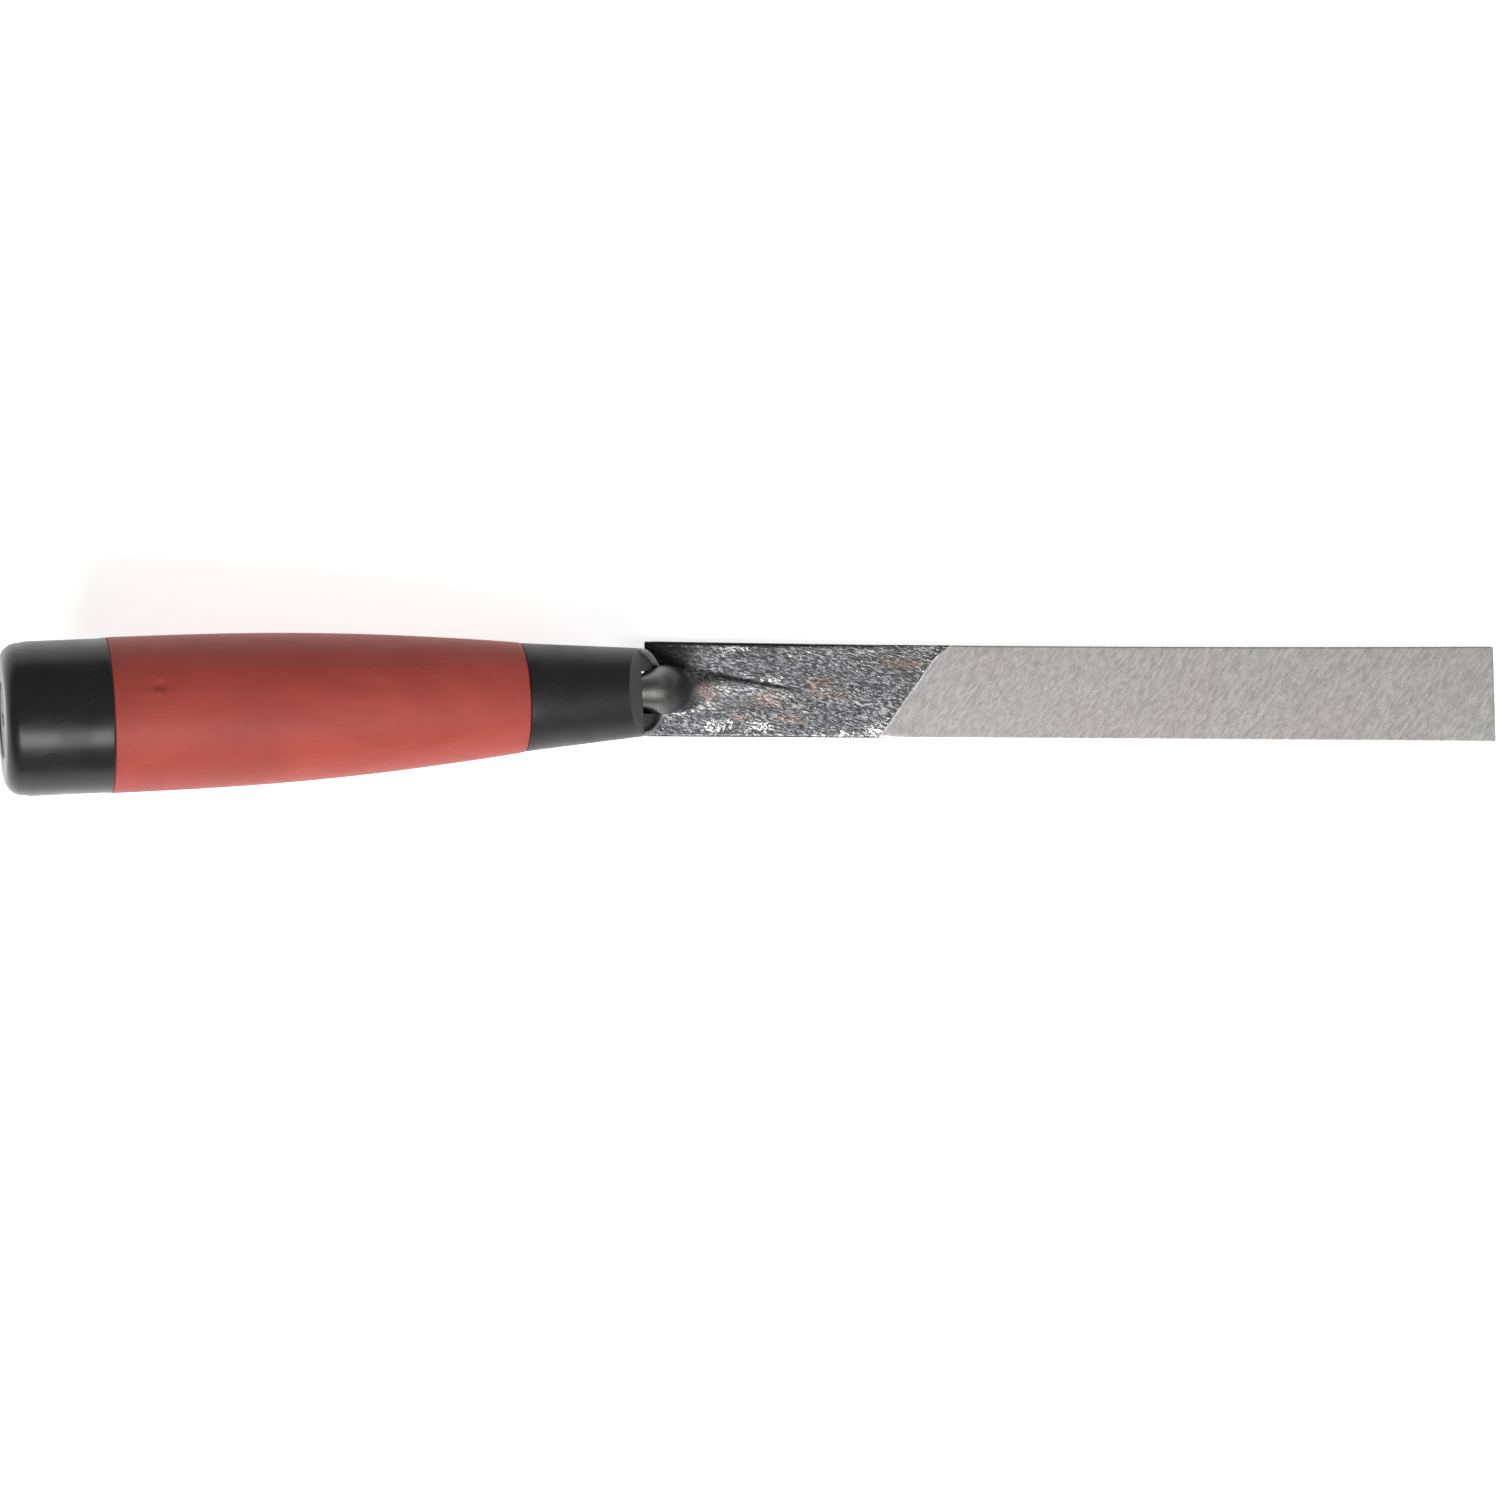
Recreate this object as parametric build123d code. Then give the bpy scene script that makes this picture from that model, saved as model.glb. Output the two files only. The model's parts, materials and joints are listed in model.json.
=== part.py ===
"""A brick jointer (tuck pointer): a forged steel blade on a moulded handle with a soft grip.

Frame, in millimetres: the origin is on the sole, at the middle of the blade. +X runs to the blade's tip,
+Z stands off the sole towards the handle, and +Y is across the blade.
"""

import math
import os

from build123d import *

# ---- Blade -----------------------------------------------------------------------------------------------
BLADE_LENGTH = 171.45  # 6 3/4 in
BLADE_WIDTH = 19.05  # 3/4 in
HEEL_THICKNESS = 3.0
TIP_THICKNESS = 1.4
EDGE_WAIST = 0.5  # how far the +Y edge is hollowed by grinding
TIP_SKEW = 2.0  # degrees that the tip is out of square
GROUND_STEP = 0.12  # how far the ground part lies below the forge scale
GROUND_START = -31.9  # where the ground part starts, on the blade's centre line
GROUND_ANGLE = 55.2  # degrees between that boundary and the blade's length
CORNER_RADIUS = 0.5
HEEL_OVER, TIP_OVER = 0.15, 0.2  # how far the +Y edge stands out at its two ends

# ---- Rib along the blade and neck up to the handle --------------------------------------------------------
# Each row: distance from the heel, offset towards +Y, half width at the blade's face, height above that face.
RIB_STATIONS = (
    (7.0, 0.2, 4.6, 5.0),
    (11.0, 0.4, 3.9, 2.3),
    (15.5, 0.1, 3.0, 1.3),
    (20.5, -0.3, 2.1, 0.7),
    (26.0, -0.5, 1.2, 0.35),
    (32.0, -0.7, 0.5, 0.08),
)
RIB_SINK = 0.6  # how far the rib and neck are rooted below the blade's face
# Each row: share of the way down the neck, half width, half thickness.
NECK_STATIONS = (
    (0.0, 2.9, 3.0),
    (0.25, 2.9, 3.05),
    (0.5, 3.35, 3.5),
    (0.75, 4.6, 4.4),
    (1.0, 4.75, 4.8),
)
NECK_FOOT = (5.6, 1.0)  # distance from the heel, and height, where the neck's centre line ends
NECK_FOOT_DIVE = 84.0  # degrees
NECK_SWEEP = 8.0  # length of the curve's handles: larger is a rounder crank

# ---- Handle axis -----------------------------------------------------------------------------------------
NOSE_POINT = Vector(-85.56, -0.75, 15.5)  # where the axis meets the nose's end face
HANDLE_LIFT = 12.5  # degrees above the blade
HANDLE_CANT = 3.0  # degrees to the side, as this handle is set on its tang
NOSE_SLANT = 32.5  # degrees that the nose's end face leans back from square

# ---- Stations along the handle, measured from the nose point towards the butt -------------------------------
CORE_FRONT = 9.0
GRIP_FRONT = 24.5
GRIP_REAR = 106.0
CORE_REAR = 117.0
BUTT_END = 126.5

# ---- Radii of the handle -----------------------------------------------------------------------------------
NOSE_TIP_RADIUS = 8.1  # of the whole cone, at NOSE_REACH in front of the nose point
NOSE_REACH = 8.0
NOSE_ROOT_RADIUS = 10.74
GRIP_RADII = ((GRIP_FRONT, 10.88), (40.0, 12.5), (60.0, 14.08), (80.0, 14.93), (GRIP_REAR, 15.17))
CAP_FRONT_RADIUS = 15.12
BAND_RADIUS = 15.0
BAND_FROM = 107.5
BAND_TO = 121.5
CAP_END_RADIUS = 14.75
CAP_ROUND = 3.4
SPIGOT_RADIUS = 6.6
GRIP_WALL = 3.0
KEY_DEPTH = 0.9
KEY_WIDTH = 3.0
KEY_COUNT = 5
REAR_SPIGOT_RADIUS = 10.5

# ---- Nose pocket and passage ---------------------------------------------------------------------------------
POCKET_WALL = 0.9
POCKET_DEPTH = 0.9
POCKET_TOP = 1.2  # the pocket's straight upper edge, above the nose point in the slanted face
RIM_RADIUS = 0.35  # of the end face's outer edge
PASSAGE_HALF_WIDTH = 4.3
PASSAGE_TOP = 3.2  # above the handle's axis
PASSAGE_BOTTOM = -6.0
PASSAGE_CORNER = 1.2
NOTCH_HALF_WIDTH = 5.1
NOTCH_BACK = 2.6  # how far behind the heel the bottom notch reaches
NOTCH_TOP = 11.0
NOTCH_CORNER = 2.4
NOTCH_LENGTH = 20.0

# ---- Tang ----------------------------------------------------------------------------------------------------
TANG_END = 86.0  # station along the handle
TANG_FRONT_SIZE = 4.4  # square, inside the neck's round, which leaves a shoulder
TANG_REAR_SIZE = 3.0
TANG_CORNER = 0.6
TANG_ROOT = 2.0  # how far the tang starts inside the neck
BARB_DEPTH = 0.5
BARB_LENGTH = 3.5
BARB_STATIONS = (30.0, 38.0, 46.0, 54.0)

# ---- Butt plug -------------------------------------------------------------------------------------------------
PLUG_HEAD_RADIUS = 7.5
PLUG_HEAD_THICKNESS = 1.6
PLUG_STEM_RADIUS = 3.2
PLUG_STEM_LENGTH = 20.0
PLUG_RECESS = 0.25

HEEL_X = -BLADE_LENGTH / 2
TIP_X = BLADE_LENGTH / 2
BEYOND = 60.0  # size of a cutting tool that has to reach past everything beside it
OVERSHOOT = 1.0  # how far a bore's tool runs past the face that it opens


def unit_direction(lift, cant):
    """Unit vector from the nose towards the butt, at that lift and cant in degrees."""
    up, side = math.radians(lift), math.radians(cant)
    return Vector(-math.cos(up) * math.cos(side), -math.cos(up) * math.sin(side), math.sin(up))


def raised_direction(lift, cant):
    """Unit vector square to unit_direction, pointing up in its vertical plane."""
    up, side = math.radians(lift), math.radians(cant)
    return Vector(math.sin(up) * math.cos(side), math.sin(up) * math.sin(side), math.cos(up))


HANDLE = Plane(
    origin=NOSE_POINT,
    x_dir=raised_direction(HANDLE_LIFT, HANDLE_CANT),
    z_dir=unit_direction(HANDLE_LIFT, HANDLE_CANT),
)


def on_handle(shape):
    """Moves a shape from handle coordinates (X up, Z towards the butt) to the part's frame."""
    return HANDLE.location * shape


def turned(profile):
    """Revolves a closed (radius, station) outline on the XZ plane about the handle's axis."""
    return revolve(Plane.XZ * profile, Axis.Z)


def outline(*curves):
    """A face inside joined curves."""
    return make_face(Wire([edge for curve in curves for edge in curve.edges()]))


def polygon(points):
    """A face inside the closed polygon through those points."""
    return make_face(Polyline(*points, close=True))


# ---- Blade forging -------------------------------------------------------------------------------------------
def blade_plate():
    """The flat blade, a wedge from heel to tip, with its ground part cut a little lower."""
    half = BLADE_WIDTH / 2
    skew = half * math.tan(math.radians(TIP_SKEW))
    heel_left, tip_left = (HEEL_X, half + HEEL_OVER), (TIP_X - skew, half + TIP_OVER)
    heel_right, tip_right = (HEEL_X, -half), (TIP_X + skew, -half)
    face = outline(
        Line(heel_right, tip_right),
        Line(tip_right, tip_left),
        ThreePointArc(tip_left, (TIP_X / 4, half + HEEL_OVER - EDGE_WAIST), heel_left),
        Line(heel_left, heel_right),
    )
    plate = extrude(face, HEEL_THICKNESS)
    corners = plate.edges().filter_by(Axis.Z).sort_by(Axis.X)[-2:]
    plate = fillet(corners, CORNER_RADIUS)
    plate -= above_face(0)
    return plate - (above_face(GROUND_STEP) & ground_zone())


def above_face(drop):
    """Everything over the blade's sloping upper face, lowered by drop."""
    far = 20.0
    slope = (HEEL_THICKNESS - TIP_THICKNESS) / BLADE_LENGTH
    profile = polygon(
        (
            (HEEL_X - far, HEEL_THICKNESS + slope * far - drop),
            (TIP_X + far, TIP_THICKNESS - slope * far - drop),
            (TIP_X + far, far),
            (HEEL_X - far, far),
        )
    )
    return extrude(Plane.XZ * profile, far, both=True)


def ground_zone():
    """The part of the blade from the slanted grinding boundary to past the tip."""
    reach = 20.0
    run = reach / math.tan(math.radians(GROUND_ANGLE))
    zone = polygon(
        (
            (GROUND_START - run, -reach),
            (TIP_X + reach, -reach),
            (TIP_X + reach, reach),
            (GROUND_START + run, reach),
        )
    )
    return extrude(zone, reach)


def rib():
    """The tapering rib that the neck was drawn out of."""
    sections = []
    for distance, offset, half_width, height in RIB_STATIONS:
        rise = height + RIB_SINK
        across = half_width / math.sqrt(1 - (RIB_SINK / rise) ** 2)
        centre = Vector(HEEL_X + distance, offset, HEEL_THICKNESS - RIB_SINK)
        sections.append(Plane(centre, x_dir=(0, 1, 0), z_dir=(1, 0, 0)) * Ellipse(across, rise))
    return loft(sections)


def neck():
    """The cranked neck: ellipses lofted along a curve from the core's front face down to the blade."""
    inward = HANDLE.z_dir
    start = NOSE_POINT + inward * CORE_FRONT
    foot = Vector(HEEL_X + NECK_FOOT[0], 0, NECK_FOOT[1])
    down = -unit_direction(NECK_FOOT_DIVE, 0)
    path = Bezier(start, start - inward * NECK_SWEEP, foot - down * NECK_SWEEP, foot)
    sections = []
    for share, half_width, half_thickness in NECK_STATIONS:
        here = Plane(path @ share, x_dir=(0, 1, 0), z_dir=path % share)
        sections.append(here * Ellipse(half_width, half_thickness))
    return loft(sections)


def tang():
    """The tapering square tang, with barbs cut into its upper and lower faces."""
    front = Plane.XY.offset(CORE_FRONT - TANG_ROOT) * RectangleRounded(
        TANG_FRONT_SIZE, TANG_FRONT_SIZE, TANG_CORNER
    )
    rear = Plane.XY.offset(TANG_END) * RectangleRounded(TANG_REAR_SIZE, TANG_REAR_SIZE, TANG_CORNER)
    bar = loft([front, rear])
    for station in BARB_STATIONS:
        share = (station - CORE_FRONT) / (TANG_END - CORE_FRONT)
        face = (TANG_FRONT_SIZE + (TANG_REAR_SIZE - TANG_FRONT_SIZE) * share) / 2
        for side in (1, -1):
            tooth = polygon(
                (
                    (side * (face - BARB_DEPTH), station),
                    (side * (face + OVERSHOOT), station),
                    (side * (face + OVERSHOOT), station + BARB_LENGTH),
                )
            )
            bar -= extrude(Plane.XZ * tooth, TANG_FRONT_SIZE, both=True)
    return on_handle(bar)


def blade_forging():
    """Blade, rib, neck and tang, forged as one piece."""
    floor = HEEL_THICKNESS - RIB_SINK * 2
    below = Pos(0, 0, floor - BEYOND / 2) * Box(2 * BLADE_LENGTH, BEYOND, BEYOND)
    raised = (rib() + neck()) - below
    return blade_plate() + raised + tang()


# ---- Handle ----------------------------------------------------------------------------------------------------
def nose_end_plane():
    """The nose's slanted end face, in handle coordinates, with its normal out of the nose and X up."""
    lean = math.radians(NOSE_SLANT)
    return Plane(
        (0, 0, 0),
        x_dir=(math.cos(lean), 0, math.sin(lean)),
        z_dir=(math.sin(lean), 0, -math.cos(lean)),
    )


def nose_ferrule():
    """The black nose: a cone cut off at a slant, pocketed and slotted for the neck."""
    cone = turned(
        polygon(
            (
                (0, -NOSE_REACH),
                (NOSE_TIP_RADIUS, -NOSE_REACH),
                (NOSE_ROOT_RADIUS, GRIP_FRONT),
                (0, GRIP_FRONT),
            )
        )
    )
    end = nose_end_plane()
    nose = cone - extrude(end * Rectangle(BEYOND, BEYOND), BEYOND)
    rim = nose.faces().filter_by(Plane(end.origin, z_dir=end.z_dir)).sort_by(SortBy.AREA)[-1]
    nose = fillet(rim.edges(), RIM_RADIUS)
    rear = GRIP_FRONT + OVERSHOOT
    nose -= turned(
        polygon(((0, CORE_FRONT), (SPIGOT_RADIUS, CORE_FRONT), (SPIGOT_RADIUS, rear), (0, rear)))
    )
    nose -= nose_pocket()
    nose = on_handle(nose)
    return nose - neck_passage() - neck_notch()


def nose_pocket():
    """The D-shaped recess in the lower half of the end face, inside a thin rim."""
    end = nose_end_plane()
    lower = end * Pos(POCKET_TOP - BEYOND / 2, 0, 0) * Rectangle(BEYOND, BEYOND)
    block = extrude(lower, BEYOND, both=True)
    behind = extrude(end.offset(-POCKET_DEPTH) * Rectangle(BEYOND, BEYOND), BEYOND)
    inner = turned(
        polygon(
            (
                (0, -NOSE_REACH),
                (NOSE_TIP_RADIUS - POCKET_WALL, -NOSE_REACH),
                (NOSE_ROOT_RADIUS - POCKET_WALL, GRIP_FRONT),
                (0, GRIP_FRONT),
            )
        )
    )
    return block & behind & inner


def neck_passage():
    """The slot that the top of the neck passes through, from the end face to the core."""
    tall = PASSAGE_TOP - PASSAGE_BOTTOM
    middle = (PASSAGE_TOP + PASSAGE_BOTTOM) / 2
    slot = Pos(middle, 0) * RectangleRounded(tall, 2 * PASSAGE_HALF_WIDTH, PASSAGE_CORNER)
    return on_handle(extrude(Plane.XY.offset(CORE_FRONT) * slot, -2 * CORE_FRONT))


def neck_notch():
    """The notch through the nose's lower wall, where the neck turns down to the blade."""
    back = HEEL_X - NOTCH_BACK
    middle = back + NOTCH_LENGTH / 2
    face = Pos(middle, 0) * RectangleRounded(NOTCH_LENGTH, 2 * NOTCH_HALF_WIDTH, NOTCH_CORNER)
    return extrude(face, NOTCH_TOP)


def grip_outer():
    """The soft grip's outer form, from its front face to its rear face."""
    points = [(radius, station) for station, radius in GRIP_RADII]
    side = Spline(*points)
    return turned(
        outline(
            Line((0, GRIP_FRONT), points[0]),
            side,
            Line(points[-1], (0, GRIP_REAR)),
            Line((0, GRIP_REAR), (0, GRIP_FRONT)),
        )
    )


def core_body():
    """The stiff core without its tang socket, in handle coordinates."""
    front = GRIP_RADII[0][1] - GRIP_WALL
    rear = GRIP_RADII[-1][1] - GRIP_WALL
    core = turned(
        polygon(
            (
                (0, CORE_FRONT),
                (SPIGOT_RADIUS, CORE_FRONT),
                (SPIGOT_RADIUS, GRIP_FRONT),
                (front, GRIP_FRONT),
                (rear, GRIP_REAR),
                (REAR_SPIGOT_RADIUS, GRIP_REAR),
                (REAR_SPIGOT_RADIUS, CORE_REAR),
                (0, CORE_REAR),
            )
        )
    )
    pitch = (GRIP_REAR - GRIP_FRONT) / (KEY_COUNT + 1)
    for number in range(1, KEY_COUNT + 1):
        station = GRIP_FRONT + pitch * number
        radius = front + (rear - front) * number / (KEY_COUNT + 1)
        groove = Cylinder(radius + GRIP_WALL, KEY_WIDTH) - Cylinder(radius - KEY_DEPTH, KEY_WIDTH)
        core -= Pos(0, 0, station) * groove
    return core


def handle_core(forging, plug):
    """The core with its tang socket and the plug's bore."""
    return on_handle(core_body()) - forging - plug


def grip_sleeve():
    """The soft red grip, moulded over the core."""
    return on_handle(grip_outer() - core_body())


def butt_cap(plug):
    """The hard cap over the core's rear spigot."""
    straight = BUTT_END - CAP_ROUND
    profile = outline(
        Polyline(
            (0, GRIP_REAR),
            (CAP_FRONT_RADIUS, GRIP_REAR),
            (BAND_RADIUS, BAND_FROM),
            (BAND_RADIUS, BAND_TO),
            (CAP_END_RADIUS, straight),
        ),
        ThreePointArc(
            (CAP_END_RADIUS, straight),
            (
                CAP_END_RADIUS - CAP_ROUND * (1 - math.cos(math.pi / 4)),
                BUTT_END - CAP_ROUND * (1 - math.sin(math.pi / 4)),
            ),
            (CAP_END_RADIUS - CAP_ROUND, BUTT_END),
        ),
        Polyline((CAP_END_RADIUS - CAP_ROUND, BUTT_END), (0, BUTT_END), (0, GRIP_REAR)),
    )
    cap = turned(profile)
    cap -= Pos(0, 0, (GRIP_REAR + CORE_REAR) / 2) * Cylinder(REAR_SPIGOT_RADIUS, CORE_REAR - GRIP_REAR)
    recess = Pos(0, 0, BUTT_END) * Cylinder(PLUG_HEAD_RADIUS, 2 * PLUG_RECESS)
    return on_handle(cap - recess) - plug


def butt_plug():
    """The headed plug that closes the butt and pins the cap to the core."""
    top = BUTT_END - PLUG_RECESS
    head = Pos(0, 0, top - PLUG_HEAD_THICKNESS / 2) * Cylinder(PLUG_HEAD_RADIUS, PLUG_HEAD_THICKNESS)
    stem = Pos(0, 0, top - PLUG_STEM_LENGTH / 2) * Cylinder(PLUG_STEM_RADIUS, PLUG_STEM_LENGTH)
    return on_handle(head + stem)


def main():
    forging = blade_forging()
    plug = butt_plug()
    nodes = {
        "blade_forging": forging,
        "nose_ferrule": nose_ferrule(),
        "handle_core": handle_core(forging, plug),
        "grip_sleeve": grip_sleeve(),
        "butt_cap": butt_cap(plug),
        "butt_plug": plug,
    }
    os.makedirs("parts", exist_ok=True)
    for name, shape in nodes.items():
        export_step(shape, f"parts/{name}.step")


main()
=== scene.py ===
"""Brick jointer: a forged steel blade on a cranked neck, in a moulded handle with a soft red grip.

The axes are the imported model's: +X along the blade to its tip, +Z off the sole towards the handle.
Pieces are shaped in millimetres and brought to metres when they are put in place.
"""

import json
import math

import bmesh
import bpy
from bpy.props import FloatProperty, FloatVectorProperty, IntProperty, PointerProperty
from mathutils import Matrix, Vector


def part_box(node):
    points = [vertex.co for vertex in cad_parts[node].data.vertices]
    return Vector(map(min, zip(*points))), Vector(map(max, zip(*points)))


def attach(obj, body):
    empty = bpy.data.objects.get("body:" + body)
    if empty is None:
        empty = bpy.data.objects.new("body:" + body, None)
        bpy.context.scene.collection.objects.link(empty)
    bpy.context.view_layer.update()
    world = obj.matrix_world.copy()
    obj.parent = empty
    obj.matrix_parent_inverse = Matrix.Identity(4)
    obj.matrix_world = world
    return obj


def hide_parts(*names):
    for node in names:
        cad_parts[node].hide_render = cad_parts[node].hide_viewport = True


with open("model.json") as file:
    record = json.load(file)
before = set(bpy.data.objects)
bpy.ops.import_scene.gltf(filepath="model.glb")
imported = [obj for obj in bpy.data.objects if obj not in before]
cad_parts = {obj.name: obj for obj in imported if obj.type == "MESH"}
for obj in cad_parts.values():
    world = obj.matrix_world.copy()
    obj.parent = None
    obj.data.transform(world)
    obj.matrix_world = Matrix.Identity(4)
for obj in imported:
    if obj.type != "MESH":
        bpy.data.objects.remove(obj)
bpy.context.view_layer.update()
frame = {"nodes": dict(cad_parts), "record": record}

bl_info = {
    "name": "Brick jointer",
    "version": (1, 0, 0),
    "blender": (4, 5, 0),
    "location": "View3D > Sidebar > Jointer",
    "description": "Builds a brick jointer round its packed frame",
    "category": "Add Mesh",
}

MM = 0.001
BAND = next(m for m in frame["record"]["mounts"] if m["name"] == "butt_band")
BAND_STATION = 114.5  # where the butt band's middle lies behind the nose point
SMALL = 0.1  # how near a vertex has to be to a row to belong to it
NEAR = 0.05  # the same for a column of the rib
HANDLE_IN = Vector(BAND["axis"]).normalized()  # along the handle's axis, from the nose to the butt
HANDLE_UP = (Vector((0, 0, 1)) - HANDLE_IN * HANDLE_IN.z).normalized()
NOSE_POINT = Vector(BAND["pos_m"]) / MM - HANDLE_IN * BAND_STATION


# ---- Settings --------------------------------------------------------------------------------------------
def in_millimetres(name, description, millimetres):
    """A length property, stated in millimetres and held in metres."""
    return FloatProperty(name=name, description=description, default=millimetres * MM, min=0, unit="LENGTH")


def in_degrees(name, description, degrees):
    """An angle property, stated in degrees."""
    return FloatProperty(name=name, description=description, default=math.radians(degrees), unit="ROTATION")


def colour(name, description, rgb):
    """A colour property in linear light."""
    return FloatVectorProperty(
        name=name, description=description, default=rgb, size=3, min=0, max=1, subtype="COLOR"
    )


class JointerBlade(bpy.types.PropertyGroup):
    """Sizes of the forging."""

    length: in_millimetres("Blade length", "Heel to tip", 171.45)
    width: in_millimetres("Blade width", "Across the blade at the heel", 19.05)
    heel: in_millimetres("Heel thickness", "Thickness at the heel", 3.0)
    tip: in_millimetres("Tip thickness", "Thickness at the tip", 1.4)
    waist: in_millimetres("Edge waist", "Hollow of the ground edge", 0.5)
    skew: in_degrees("Tip skew", "How far the tip is out of square", 2.0)
    grind_start: FloatProperty(
        name="Grind start",
        description="Where the ground face starts on the centre line, from the blade's middle",
        default=-31.9 * MM,
        unit="LENGTH",
    )
    grind_step: in_millimetres("Grind step", "How far the ground face lies below the forge scale", 0.12)
    heel_round: in_millimetres("Heel rounding", "Rounding of the edges left as forged", 0.5)
    edge_round: in_millimetres("Edge rounding", "Rounding of the ground edges", 0.1)
    corner: in_millimetres("Corner radius", "Rounding of the corners in plan", 0.4)


class JointerHandle(bpy.types.PropertyGroup):
    """Sizes of the handle, and how finely its round pieces are divided."""

    slant: in_degrees("Nose slant", "How far the upper part of the nose's end face leans back", 26.0)
    low_slant: in_degrees("Pocket slant", "How far the pocketed lower part of the face leans back", 35.0)
    rim: in_millimetres("Rim wall", "Wall around the pocket in the nose", 0.9)
    pocket: in_millimetres("Pocket depth", "Depth of the pocket in the nose", 0.9)
    groove: in_millimetres("Groove", "Rounding on each side of the joint lines", 0.3)
    sides: IntProperty(name="Sides", description="Facets round each round piece", default=128, min=24)


class JointerFinish(bpy.types.PropertyGroup):
    """Colours of the finishes."""

    steel: colour("Ground steel", "Bright ground face", (0.585, 0.572, 0.568))
    scale: colour("Forge scale", "Dark oxide near the heel", (0.218, 0.218, 0.223))
    rust: colour("Rust", "Brown tint in the scale", (0.42, 0.27, 0.20))
    grip: colour("Grip", "Soft red grip", (0.38, 0.066, 0.051))
    black: colour("Black", "Moulded black plastic", (0.016, 0.016, 0.016))


class JointerStage(bpy.types.PropertyGroup):
    """The floor, the lights and the camera."""

    floor: colour("Floor", "Pale floor", (0.86, 0.86, 0.86))
    floor_glow: FloatProperty(
        name="Floor glow", description="Light that the floor gives off by itself", default=0.8, min=0
    )
    distance: in_millimetres("Camera distance", "Camera above the blade's face", 1006.0)
    lens: FloatProperty(name="Lens", description="Focal length in millimetres", default=120.0, min=1)


# ---- Shaping ---------------------------------------------------------------------------------------------
def put_down():
    """Leaves edit mode and deselects every object."""
    if bpy.context.object and bpy.context.object.mode != "OBJECT":
        bpy.ops.object.mode_set(mode="OBJECT")
    bpy.ops.object.select_all(action="DESELECT")


def take_up(piece):
    """Makes that piece the only selected one."""
    put_down()
    piece.select_set(True)
    bpy.context.view_layer.objects.active = piece


def open_up(piece):
    """Takes a piece into edit mode."""
    take_up(piece)
    bpy.ops.object.mode_set(mode="EDIT")


def pick(kind, test):
    """Selects just the vertices, edges or faces of the open piece that pass the test, and counts them."""
    bpy.ops.mesh.select_mode(type=kind)
    bpy.ops.mesh.select_all(action="DESELECT")
    mesh = bpy.context.edit_object.data
    shape = bmesh.from_edit_mesh(mesh)
    shape.normal_update()
    found = 0
    if kind == "VERT":
        for vert in shape.verts:
            if test(vert.co):
                vert.select_set(True)
                found += 1
    elif kind == "EDGE":
        for edge in shape.edges:
            if all(test(vert.co) for vert in edge.verts):
                edge.select_set(True)
                found += 1
    else:
        for face in shape.faces:
            if test(face.calc_center_median(), face.normal):
                face.select_set(True)
                found += 1
    shape.select_flush_mode()
    bmesh.update_edit_mesh(mesh)
    if not found:
        raise RuntimeError(f"nothing to pick among the {kind} of {bpy.context.edit_object.name}")
    return found


def pick_fold(test):
    """Selects the edges between a flat face and an upright one whose ends pass the test."""
    bpy.ops.mesh.select_mode(type="EDGE")
    bpy.ops.mesh.select_all(action="DESELECT")
    mesh = bpy.context.edit_object.data
    shape = bmesh.from_edit_mesh(mesh)
    shape.normal_update()
    for edge in shape.edges:
        rises = sorted(abs(face.normal.z) for face in edge.link_faces)
        if rises[0] < 0.2 and rises[1] > 0.9 and all(test(vert.co) for vert in edge.verts):
            edge.select_set(True)
    bmesh.update_edit_mesh(mesh)


def ease(offset, segments):
    """Bevels the picked edges and keeps the bevel's own borders crisp when it is subdivided."""
    bpy.ops.mesh.bevel(offset=offset, segments=segments)
    bpy.ops.mesh.region_to_loop()
    bpy.ops.transform.edge_crease(value=1.0)


def draw_out(way):
    """Extrudes what is picked."""
    bpy.ops.mesh.extrude_region_move(TRANSFORM_OT_translate={"value": way})


def shift(x=0.0, y=0.0, z=0.0):
    """Moves what is picked."""
    bpy.ops.transform.translate(value=(x, y, z))


def cut(point, normal, **how):
    """Bisects the whole open piece, or what is picked when how says so."""
    if not how.pop("picked", False):
        bpy.ops.mesh.select_all(action="SELECT")
    bpy.ops.mesh.bisect(plane_co=point, plane_no=normal, threshold=1e-4, **how)


def turn_loop(degrees, centre):
    """Turns what is picked about the Y axis; positive tips +Z towards +X."""
    bpy.ops.transform.rotate(value=-math.radians(degrees), orient_axis="Y", center_override=centre)


def swell(x, y, z, centre):
    """Scales what is picked about a centre."""
    bpy.ops.transform.resize(value=(x, y, z), center_override=centre)


def finish_with(piece, kind, **values):
    """Adds a modifier to a piece and applies it."""
    take_up(piece)
    modifier = piece.modifiers.new(kind.title(), kind)
    for key, value in values.items():
        setattr(modifier, key, value)
    bpy.ops.object.modifier_apply(modifier=modifier.name)


def combine(piece, tool, operation):
    """Joins a closed tool to a piece or cuts it away, and removes the tool."""
    finish_with(piece, "BOOLEAN", object=tool, operation=operation, solver="EXACT")
    bpy.data.objects.remove(tool)


def handle_matrix():
    """Takes handle coordinates, with X up and Z from the nose point to the butt, to the frame's."""
    side = HANDLE_IN.cross(HANDLE_UP)
    turn = Matrix((HANDLE_UP, side, HANDLE_IN)).transposed().to_4x4()
    return Matrix.Translation(NOSE_POINT) @ turn


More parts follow.
